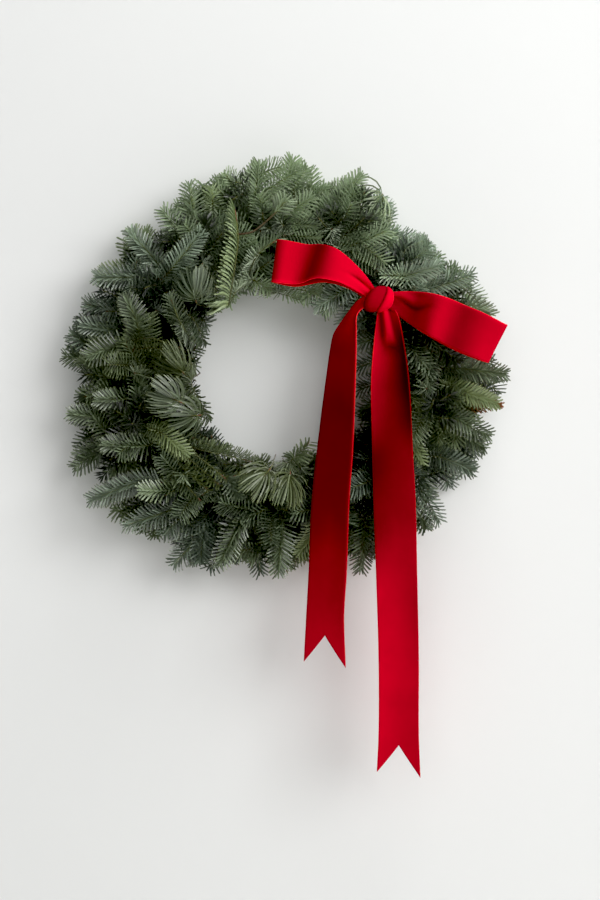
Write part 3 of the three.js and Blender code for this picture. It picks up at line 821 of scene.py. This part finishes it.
# Shoots that stand out in the photograph, by kind: flat feathery ones, yellow-green young ones, fans of
# long needles from one place, one whose twig shows bare, a comb of needles seen from the side, a fringe
# along the inner edge, dense brushes, a dried tip, dark ones in the bow's shade, and upswept ones whose
# needles point at the viewer. Each is across and up from the wreath's centre where it shows first, the
# same where its last needles end, with one or two places between for a bent one, and its lift off the wall.
SHOOTS = {
    "feather": [
        (-151, 117, -194, 171, 75), (-135, 117, -94, 167, 100), (-130, 161, -152, 173, 50),
        (-156, 104, -237, 107, 88), (-175, 43, -193, 91, 108), (-225, 74, -252, 78, 60),
        (-124, 50, -140, 90, 114), (-238, 28, -269, 44, 55), (-191, 44, -255, 50, 72),
        (-193, 24, -246, 8, 96), (-239, 6, -278, 16, 50), (-218, -62, -270, -57, 72),
        (-238, -37, -258, -35, 60), (-164, -96, -225, -95, 102), (-226, -103, -264, -129, 55),
        (-225, -96, -262, -114, 50), (-168, -139, -243, -165, 92), (-113, -214, -141, -248, 62),
        (-129, -186, -153, -211, 78), (-55, -195, -83, -248, 88), (-85, -234, -98, -254, 52),
        (-4, -189, -8, -260, 96), (19, -122, 3, -99, 90), (-36, -226, -28, -261, 56),
        (97, -191, 91, -257, 80), (-112, 184, -118, 231, 62), (-65, 210, -81, 241, 50),
        (-36, 207, -30, 256, 66), (5, 226, 10, 264, 56), (11, 219, 31, 251, 60), (10, 187, 41, 207, 96),
        (-32, 132, 1, 158, 106), (58, 191, 99, 241, 62), (101, 187, 123, 217, 48),
        (79, 146, 133, 167, 92), (140, 133, 177, 156, 78), (166, 94, 236, 113, 82),
        (131, 105, 191, 120, 100), (197, -3, 276, -11, 82), (192, -56, 254, -88, 96),
        (213, -77, 251, -104, 66), (185, -110, 235, -129, 92), (163, -143, 191, -196, 78),
        (160, -170, 176, -206, 55), (215, 76, 259, 58, 80), (-191, -40, -235, -42, 94),
        (-120, -166, -201, -197, 86), (155, 20, 177, -10, 98), (-27, 169, 3, 205, 84),
    ],
    "young": [
        (-143, -151, -181, -150, 108), (-146, -82, -108, -113, 118), (31, -209, 11, -236, 82),
        (88, -208, 84, -227, 76), (-88, 201, -91, 225, 72), (202, -26, 265, -49, 88),
        (154, -85, 169, -126, 88), (153, -36, 175, -72, 92), (-120, -130, -123, -146, 116),
        (140, 107, 108, 108, 104),
    ],
    "fan": [
        (-106, 76, -110, 113, 108), (-120, -10, -142, 14, 112), (-123, -45, -172, -23, 120),
        (-101, -60, -129, -62, 110), (-17, -124, -47, -161, 120), (7, -129, 4, -146, 112),
        (120, 213, 107, 184, 52),
    ],
    "woody": [(-40, 159, -24, 170, -6, 187, 8, 206, 110)],
    "comb": [(-66, 74, -59, 116, -55, 152, -60, 196, 118)],
    "fringe": [(-107, -100, -71, -108, -28, -118, 98)],
    "brush": [
        (-78, -126, -48, -168, 96), (16, 92, 52, 84, 92), (-8, 88, 30, 76, 84),
        (-112, -22, -84, -74, 96), (-112, 58, -90, 16, 98), (-60, 86, -70, 60, 104),
        (-82, 88, -86, 56, 100), (-40, 104, -8, 86, 92), (6, -116, 38, -84, 100),
    ],
    "dried": [(252, -46, 270, -48, 84)],
    "shaded": [
        (66, 94, 42, 56, 84), (44, 98, 16, 74, 86), (88, 80, 64, 44, 78), (70, 90, 30, 66, 90),
        (116, 36, 82, 26, 66), (118, 10, 82, -4, 66), (118, -16, 82, -32, 66), (118, -42, 84, -60, 68),
        (104, 62, 80, 46, 62),
    ],
    "upswept": [
        (-128, -116, -82, -158, 112), (-114, -112, -68, -152, 114), (-100, -112, -60, -144, 114),
        (-134, -130, -92, -170, 110), (-158, 32, -116, 14, 106), (-152, 20, -110, 2, 108),
    ],
}

# How the needles sit on a shoot of each kind: their length and width, their lean at its root and at its
# tip and the power by which the lean falls, the shares of it that a needle leaves and arrives with, how
# far about the shoot they spread, the millimetres of twig for each, their order about it, and the rows
# that a needle is made of. A row is a share of the needle's length, with its share of the full width.
# The small twigs that fill the wreath behind the rest are of the kind "under".
BLADE = ((0.25, 1.0), (0.9, 0.86))
PLAIN_BLADE = ((0.5, 1.1),)
BENT_BLADE = ((0.2, 0.9), (0.45, 1.0), (0.7, 1.0), (0.92, 0.7))
RANKED = np.array([0.2, 1, 0.62, -0.2, -1, -0.62])
FLAT = np.array([1, -1, 0.55, -0.72, 0.86, -0.4, 0.72, -0.86, 0.3, -0.55])
SPIRAL = np.arange(144) * 137.5 % 360 / 180 - 1
HABITS = {
    "feather": (21, 1.9, 74, 42, 4, 0.62, 1.12, 98, 0.72, RANKED, BLADE),
    "young": (19, 1.9, 72, 42, 4, 0.55, 1.12, 98, 0.72, RANKED, BLADE),
    "fan": (42, 1.8, 84, 4, 1, 1.2, 0.2, 104, 0.24, FLAT, BENT_BLADE),
    "woody": (20, 1.9, 70, 42, 4, 0.62, 1.12, 98, 0.72, RANKED, BLADE),
    "comb": (37, 3.4, 84, 34, 4, 0.7, 1.35, 30, 2.5, np.array([0.1, 0.9]), BENT_BLADE),
    "fringe": (21, 2.0, 80, 50, 4, 0.7, 1.25, 60, 0.9, SPIRAL, BENT_BLADE),
    "brush": (19, 2.0, 84, 60, 4, 0.9, 1.02, 62, 0.6, SPIRAL, BLADE),
    "dried": (13, 1.8, 60, 20, 4, 0.5, 1.3, 165, 0.6, SPIRAL, BLADE),
    "upswept": (22, 1.8, 90, 84, 4, 0.9, 1.0, 26, 1.5, SPIRAL, BLADE),
    "shaded": (21, 1.9, 74, 42, 4, 0.62, 1.12, 98, 0.72, RANKED, BLADE),
    "under": (22, 2.8, 66, 34, 4, 1.0, 1.0, 165, 0.85, SPIRAL, PLAIN_BLADE),
}
# How young the needles of each kind are, from 0 for dark green to 1 for yellow-green, with -1 for dried
# and brown, and how bright each kind is beside the feathery ones: painted shade makes the under twigs near
# black, the upswept ones dark, and the shaded ones dark as in the bow's shadow.
FRESH = {
    "feather": 0.04, "woody": 0.04, "young": 0.4, "fan": 0.2, "comb": 0.8, "fringe": 0.2,
    "brush": 0.16, "upswept": 0.3, "shaded": 0, "dried": -1,
}
TONE_AND_PAINTED_SHADE = {
    "young": 1.3, "comb": 0.75, "fan": 0.62, "fringe": 0.65, "brush": 0.75, "upswept": 0.15,
    "shaded": 0.5, "under": 0.12,
}

# A needle is a flat blade with a keel below: its root, one to four rows of left, right and keel points,
# and its tip. It keeps clear of the wall and of the ribbon's back by the two gaps.
BLADE_QUADS = np.array([[2, 5, 4, 1], [3, 6, 5, 2], [1, 4, 6, 3]])
BLADE_ROOT = np.array([[0, 2, 1], [0, 3, 2], [0, 1, 3]])
KEEL_DEPTH = 0.34
ROOT_OFF = 0.6
WALL_GAP = 1
RIBBON_GAP = 2.5
CELL = 4
VIEWER = np.array([0.0, -1.0, 0.0])

# Painted light and shade: needles are painted darker, as in shade, from DARK_FROM degrees below the twig's
# top on, a little darker again within INNER_REACH of the wreath's centre, and painted brightest near the
# clock angle set below, at the top, where the light falls most.
DARK_FROM = 72
DARK_OVER = 50
INNER_REACH = 170
INNER_OVER = 90
PAINTED_LIGHT_BASE = 0.38
INNER_PAINTED_SHADE = 0.12
PAINTED_LIGHT_CLOCK = 14
PAINTED_LIGHT_SPAN = 2.0

# The ribbon's least lift off the wall over each cell of a grid on the wall, and the cells next to it.
shade = {}
for x, y, z in bow_points:
    for side in (-1, 0, 1):
        for up in (-1, 0, 1):
            cell = (int(x // CELL) + side, int(z // CELL) + up)
            shade[cell] = min(shade.get(cell, 1e9), -y)


def behind_ribbon(points):
    """Which of the points lie under the ribbon with a gap, or away from it."""
    cells = np.floor(points / CELL).astype(int)
    ceiling = [shade.get((x, z), 1e9) for x, z in zip(cells[..., 0].ravel(), cells[..., 2].ravel())]
    return -points[..., 1] < np.reshape(ceiling, points.shape[:-1]) - RIBBON_GAP


def needles_on(path, top, bare, habit, draw):
    """The needles of one twig, from share bare of it to its tip, in ranks or as a spiral of 137.5 degree
    turns. What grows below the twig turns up round it: spread = 5 + within * turn ** 1.25. The lean falls
    from root_lean to tip_lean with late ** fall, where late is the share of the way to the tip, and is
    0.78 to 1 of that with the sine of the spread. A needle leaves at one share of its lean and arrives at
    the other: centre = root + size * (leave * (share - share ** 2 / 2) + arrive * share ** 2 / 2). It is
    0.42 shorter at the very tip, and up to 0.3 shorter on top. Its brightness grows with late and with the
    square of a random number, with painted shade below the twig and near the wreath's centre and painted
    light by clock angle. Gives each needle's points and that brightness."""
    length, breadth, root_lean, tip_lean, fall, leaves, arrives, within, pitch, order, blade = habit
    steps = len(path) - 1
    run = np.linalg.norm(np.diff(path, axis=0), axis=1).sum()
    count = int(run * (1 - bare) / pitch)
    late = (np.arange(count) + 0.5) / count
    at = (bare + (1 - bare) * late) * steps

    def along_path(values):
        return np.stack([np.interp(at, np.arange(steps + 1), values[:, k]) for k in range(3)], -1)

    spot = along_path(path)
    heading = unit(along_path(unit(np.gradient(path, axis=0))))
    up = unit(top - (heading @ top)[:, None] * heading)
    beside = np.cross(heading, up)
    turn = np.resize(np.roll(order, draw.integers(len(order))), count)
    spread = np.radians(
        np.sign(turn) * (5 + within * np.abs(turn) ** 1.25) + draw.normal(0, 2.5, count)
    )[:, None]
    outward = up * np.cos(spread) + beside * np.sin(spread)
    flank = np.abs(np.sin(spread))
    lean = root_lean - (root_lean - tip_lean) * late**fall + draw.normal(0, 2, count)
    lean = np.radians(lean)[:, None] * (0.78 + 0.22 * flank)
    leave = heading * np.cos(leaves * lean) + outward * np.sin(leaves * lean)
    arrive = heading * np.cos(arrives * lean) + outward * np.sin(arrives * lean)
    size = length * (1 - 0.42 * late**6)[:, None] * (0.7 + 0.3 * flank) * draw.uniform(0.95, 1.05, (count, 1))
    root = spot + outward * ROOT_OFF
    width = breadth * draw.uniform(0.9, 1.08, (count, 1))
    face = unit(up * 0.8 + outward * 0.5 + beside * draw.normal(0, 0.12, (count, 1)))
    points = [root[:, None]]
    for share, wide in (*blade, (1.0, 0.0)):
        centre = root + size * (leave * (share - share**2 / 2) + arrive * share**2 / 2)
        onward = unit(leave * (1 - share) + arrive * share)
        sideways = unit(np.cross(onward, face)) * width / 2 * wide
        below = unit(np.cross(np.cross(onward, face), onward)) * width * KEEL_DEPTH * wide
        row_points = np.stack([centre - sideways, centre + sideways, centre - below], 1)
        points.append(row_points if wide else row_points[:, :1])
    blades = np.concatenate(points, 1)
    keep = (blades[..., 1].max(1) < -WALL_GAP) & behind_ribbon(blades).all(1)
    # Painted shade below the twig and near the wreath's centre, and painted light by clock angle, are all
    # carried in each needle's brightness.
    painted_underside_shade = np.clip((np.abs(np.degrees(spread[:, 0])) - DARK_FROM) / DARK_OVER, 0, 1)
    clock = np.arctan2(spot[:, 0], spot[:, 2] + HANG_DROP)
    inner = np.clip((INNER_REACH - np.hypot(spot[:, 0], spot[:, 2] + HANG_DROP)) / INNER_OVER, 0, 1)
    facing_light = np.clip(np.cos(clock - np.radians(PAINTED_LIGHT_CLOCK)), 0, 1) ** 2
    painted_needle_light = PAINTED_LIGHT_BASE - INNER_PAINTED_SHADE * inner + PAINTED_LIGHT_SPAN * facing_light
    tone_and_painted_light = (0.35 * late + 0.08 + 0.95 * draw.random(count) ** 2) * (1 - 0.85 * painted_underside_shade) * painted_needle_light
    return blades[keep], tone_and_painted_light[keep]


def needle_look(name, deep, fresh, young, bloom):
    """Fir needle: a leaf with a wax bloom, from near-black deep green to fresh green by its brightness, which
    carries painted light and shade, and by its youth, then in layers: yellow-green where it leaves the twig,
    paler at its end, grey with wax below and with a painted highlight along one edge, and brown where it has
    dried."""
    material, tree, output = new_material(name)
    tone_and_painted_light, along, youth, keel_wax_and_edge_highlight = (
        add_node(tree, "ShaderNodeAttribute", attribute_name=key).outputs["Fac"]
        for key in ("tone_and_painted_light", "along", "youth", "keel_wax_and_edge_highlight")
    )
    shown = add_node(
        tree, "ShaderNodeMath", {0: tone_and_painted_light, 1: 1.4, 2: 0.04}, operation="MULTIPLY_ADD", use_clamp=True
    )
    at_root, at_tip, ripe = (
        add_node(
            tree,
            "ShaderNodeMapRange",
            {"Value": value, "From Min": low, "From Max": high, "To Min": start, "To Max": end},
        ).outputs[0]
        for value, low, high, start, end in (
            (along, 0, 0.3, 0.7, 0),
            (along, 0.88, 1, 0, 0.5),
            (youth, 0.1, 0.9, 1, 0.1),
        )
    )
    paler, mature = (
        add_node(tree, "ShaderNodeMath", {0: value, 1: shown.outputs[0]}, operation="MULTIPLY").outputs[0]
        for value in (at_root, ripe)
    )
    # The bloom colour where the wax is, and as a painted highlight along one edge.
    wax_and_highlight = add_node(tree, "ShaderNodeMath", {0: keel_wax_and_edge_highlight, 1: mature}, operation="MULTIPLY").outputs[0]
    dried = add_node(tree, "ShaderNodeMath", {0: youth, 1: -0.9}, operation="MULTIPLY", use_clamp=True)
    colour = linear(deep)
    for share, code in (
        (tone_and_painted_light, fresh),
        (youth, young),
        (paler, "#94a04a"),
        (at_tip, "#8a9650"),
        (wax_and_highlight, bloom),
        (dried.outputs[0], "#8a5430"),
    ):
        layer = add_node(tree, "ShaderNodeMix", {0: share, 6: colour, 7: linear(code)}, data_type="RGBA")
        colour = layer.outputs[2]
    surface = add_node(
        tree,
        "ShaderNodeBsdfPrincipled",
        {"Base Color": colour, "Roughness": 0.38, "Specular IOR Level": 0.8},
    )
    tree.links.new(surface.outputs[0], output.inputs["Surface"])
    return material


green_needle = needle_look("fir_green_needles", "#0c1406", "#7a9166", "#a2b272", "#cad6c0")
blue_needle = needle_look("fir_blue_needles", "#0d160e", "#7d9579", "#9cae7c", "#ced8ca")

# Bark: grey-brown at the cut end, olive along the young growth, red-brown at the bud.
bark, tree, output = new_material("fir_bark")
along = add_node(tree, "ShaderNodeAttribute", attribute_name="along")
ramp = add_node(tree, "ShaderNodeValToRGB", {0: along.outputs["Fac"]})
ramp.color_ramp.elements[0].color = linear("#4a3426")
ramp.color_ramp.elements[1].color = linear("#6d4231")
for share, code in ((0.45, "#4c4f2a"), (0.93, "#6c7038")):
    ramp.color_ramp.elements.new(share).color = linear(code)
surface = add_node(tree, "ShaderNodeBsdfPrincipled", {"Base Color": ramp.outputs[0], "Roughness": 0.75})
tree.links.new(surface.outputs[0], output.inputs["Surface"])

stems = {}
for row in ROWS:
    for station in range(STATIONS):
        stems[row["name"], station] = main_path(row, station, *tips_of(row, station)[0])

# Each shoot rises a little to its lift, and grows from the sprig whose main twig passes nearest to a
# place behind and under its first needles, beyond the stretch that is bound to the ring.
BOUND_STEPS = 15
ROOT_BACK = 22
ROOT_UNDER = 12
SHOOT_RISE = 5
grown = {key: [] for key in stems}
for kind, shoots in SHOOTS.items():
    for *spots, lift in shoots:
        across, up = np.reshape(spots, (-1, 2)).T
        course = np.stack([across, np.linspace(SHOOT_RISE, 0, len(across)) - lift, up - HANG_DROP], 1)
        before = course[0] - unit(course[1] - course[0]) * ROOT_BACK + [0, ROOT_UNDER, 0]
        gaps = {key: np.linalg.norm(stem[BOUND_STEPS:] - before, axis=1) for key, stem in stems.items()}
        key = min(gaps, key=lambda name: gaps[name].min())
        grown[key].append((kind, BOUND_STEPS + int(gaps[key].argmin()), course))

# A sprig's small twigs, at its sides and under it: how many, the least and most of their lengths, and
# their least lift off the wall. A twig stops short of the wreath's outline by the room that its needles
# need, and a shoot's twig stops TIP_ROOM before the place where its last needles end. All of a fan's
# needles leave from its last FAN_BASE millimetres.
LATERALS = 4
LATERAL_LENGTH = (38, 62)
LATERAL_OFF = (34, 50)
LATERAL_LIFT = 12
UNDERTWIGS = 15
UNDER_LENGTH = (26, 48)
UNDER_LIFT = 10
NEEDLE_ROOM = 10
UNDER_ROOM = 22
TIP_ROOM = 11
FAN_BASE = 12
FAN_STEPS = 20
SHOOT_STEPS = 40
FEWEST_STEPS = 5
TAPER = 0.3
BUD_AT = 0.96
BARK_SIDES = 5

# The wreath's outer and inner outline: the reach of its furthest needles by clock angle.
outer_edge = np.array([tip for tips in OUTER["tips"] for tip in tips], float)
inner_edge = np.array(INNER["tips"], float)


def trimmed(path, room=NEEDLE_ROOM):
    """The part of a twig that leaves room for its needles inside the wreath's outline."""
    clock = np.degrees(np.arctan2(path[:, 0], path[:, 2] + HANG_DROP))
    reach = np.hypot(path[:, 0], path[:, 2] + HANG_DROP)
    most = np.interp(clock, *outer_edge.T, period=360) - room
    least = np.interp(clock, *inner_edge.T, period=360) + room
    inside = (reach < most) & (reach > least)
    return path[: np.argmin(np.append(inside, False))]


for row in ROWS:
    for station in range(STATIONS):
        seed = station * 4 + ROWS.index(row)
        draw = np.random.default_rng(seed)
        node = f"fir_sprig_{row['name']}_{station + 1:02d}"
        solid = np.array([v.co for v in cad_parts[node].data.vertices]) / MM
        main = stems[row["name"], station]
        ahead = unit(np.gradient(main, axis=0))
        youth = np.clip(draw.normal(0.04, 0.1), 0, 1)
        # Each twig is its path, its kind, the share of it that is bare, its thickness and its youth.
        twigs = [(trimmed(main)[::2], "feather", 0.3, 1.5, youth)]
        for i, (clock, reach, lift) in enumerate(tips_of(row, station)[1:]):
            # Of these lifts of the tip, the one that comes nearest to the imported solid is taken.
            shifts = place(clock, reach, lift + np.array([0, 7, -7, 14, -14, 21, -21, 28]))
            misses = np.linalg.norm(solid[:, None] - shifts, axis=2).min(axis=0)
            root = round((0.5 + 0.08 * i) * MAIN_STEPS)
            side = side_path(main[root], ahead[root], shifts[misses.argmin()])
            twigs.append((trimmed(side), "feather", 0.1, 0.9, youth))
        for i in range(LATERALS):
            root = round((0.36 + 0.14 * i + 0.08 * draw.random()) * MAIN_STEPS)
            sideways = unit(np.cross(ahead[root], VIEWER)) * (1 if i % 2 else -1)
            off = np.radians(draw.uniform(*LATERAL_OFF))
            towards = ahead[root] * np.cos(off) + sideways * np.sin(off)
            towards = unit(towards + VIEWER * draw.normal(0.12, 0.2))
            tip = main[root] + towards * draw.uniform(*LATERAL_LENGTH)
            tip[1] = min(tip[1], -LATERAL_LIFT)
            twigs.append((trimmed(side_path(main[root], ahead[root], tip)), "feather", 0.08, 0.7, youth))
        for i in range(UNDERTWIGS):
            root = round(MAIN_STEPS * draw.uniform(0.12, 0.9))
            towards = unit(ahead[root] * 0.5 + unit(draw.normal(0, 1, 3)) * [1, 0.7, 1])
            tip = main[root] + towards * draw.uniform(*UNDER_LENGTH)
            tip[1] = min(tip[1], -UNDER_LIFT)
            path = trimmed(side_path(main[root], ahead[root], tip)[::3], UNDER_ROOM)
            twigs.append((path, "under", 0.05, 0.8, 0))
        for kind, root, course in grown[row["name"], station]:
            onward = unit(course[-1] - course[-2])
            if kind == "fan":
                path = through([main[root], course[0], course[0] + onward * FAN_BASE], FAN_STEPS)
                bare = 1 - FAN_BASE / np.linalg.norm(np.diff(path, axis=0), axis=1).sum()
            else:
                path = through([main[root], *course[:-1], course[-1] - onward * TIP_ROOM], SHOOT_STEPS)
                bare = 0.78 if kind == "woody" else 0.12
            twigs.append((path, kind, bare, 1.5 if kind == "woody" else 0.75, FRESH[kind]))
        points, quads, triangles, values, quad_looks, end_looks, barks = ([] for part in range(7))
        start = 0
        for path, kind, bare, thick, fresh in twigs:
            clear_to = np.argmin(np.append(behind_ribbon(path), False))
            if clear_to < FEWEST_STEPS:
                continue
            path = path[:clear_to]
            # A twig's upper side faces the viewer, also outwards in the inner row, or across in the comb
            # and the fringe.
            across = unit(np.cross(path[-1] - path[0], VIEWER))
            if kind in ("comb", "fringe"):
                top = VIEWER * 0.6 - across
            else:
                top = VIEWER + across * draw.normal(0, 0.3)
                if row is INNER:
                    top = top + unit(place(tips_of(row, station)[0][0], 1.0, 0) + [0, 0, HANG_DROP]) * 0.6
            blades, tone_and_painted_light = needles_on(path, unit(top), bare, HABITS[kind], draw)
            # Each kind's brightness beside the feathery ones, which paints shade on the under, shaded and
            # upswept kinds.
            tone_and_painted_light = np.clip(tone_and_painted_light * TONE_AND_PAINTED_SHADE.get(kind, 1), 0, 1)
            count, size = blades.shape[:2]
            rings = [share for share, wide in HABITS[kind][-1]]
            tip = size - 1
            blade_tip = np.array([[tip - 2, tip, tip - 3], [tip - 1, tip, tip - 2], [tip - 3, tip, tip - 1]])
            blade_ends = np.concatenate([BLADE_ROOT, blade_tip])
            first = start + np.arange(count)[:, None, None] * size
            points.append(blades.reshape(-1, 3))
            for above in range(len(rings) - 1):
                quads.append((BLADE_QUADS + 3 * above + first).reshape(-1, 4))
                quad_looks.append(np.zeros(count * len(BLADE_QUADS)))
            triangles.append((blade_ends + first).reshape(-1, 3))
            end_looks.append(np.zeros(count * len(blade_ends)))
            along = np.tile([0, *np.repeat(rings, 3), 1], count)
            # Wax on each row's keel point is the needle's own bloom; the half on one edge is a painted
            # highlight, as of a lit facet.
            keel_wax_and_edge_highlight = np.tile([0, *[0.5, 0, 1] * len(rings), 0.3], count)
            values.append([np.repeat(tone_and_painted_light, size), along, np.full(count * size, fresh), keel_wax_and_edge_highlight])
            start += count * size
            barks.append((path, thick, bare if kind == "fan" else BUD_AT, 0.3 if kind == "woody" else 1))
        # Bark tapers to the tip, and swells to a brown bud near it, or where a fan's needles start.
        for path, thick, bud, ripened in barks:
            share = np.linspace(0, 1, len(path))
            swollen = (1 + 0.8 * near(share, bud, 0.03)) * np.where(share == 1, 0.3, 1)
            skin = tube(path, thick * (1 - TAPER * share) * swollen, BARK_SIDES)
            tube_quads, tube_ends = wrap(len(path), BARK_SIDES)
            points.append(skin)
            quads.append(tube_quads + start)
            triangles.append(tube_ends + start)
            quad_looks.append(np.ones(len(tube_quads)))
            end_looks.append(np.ones(len(tube_ends)))
            brown = np.minimum(share * ripened + 0.5 * near(share, bud, 0.03), 1)
            none = np.zeros(len(skin))
            values.append([none, np.repeat(brown, BARK_SIDES), none, none])
            start += len(skin)
        values = np.concatenate(values, axis=1)
        blue = station % 3 == 1
        add_piece(
            f"fir_{row['name']}_{station + 1:02d}",
            np.concatenate(points), np.concatenate(quads), np.concatenate(triangles),
            [blue_needle if blue else green_needle, bark],
            [node],
            looks=np.concatenate(quad_looks + end_looks),
            values={"tone_and_painted_light": values[0], "along": values[1], "youth": values[2], "keel_wax_and_edge_highlight": values[3]},
        )
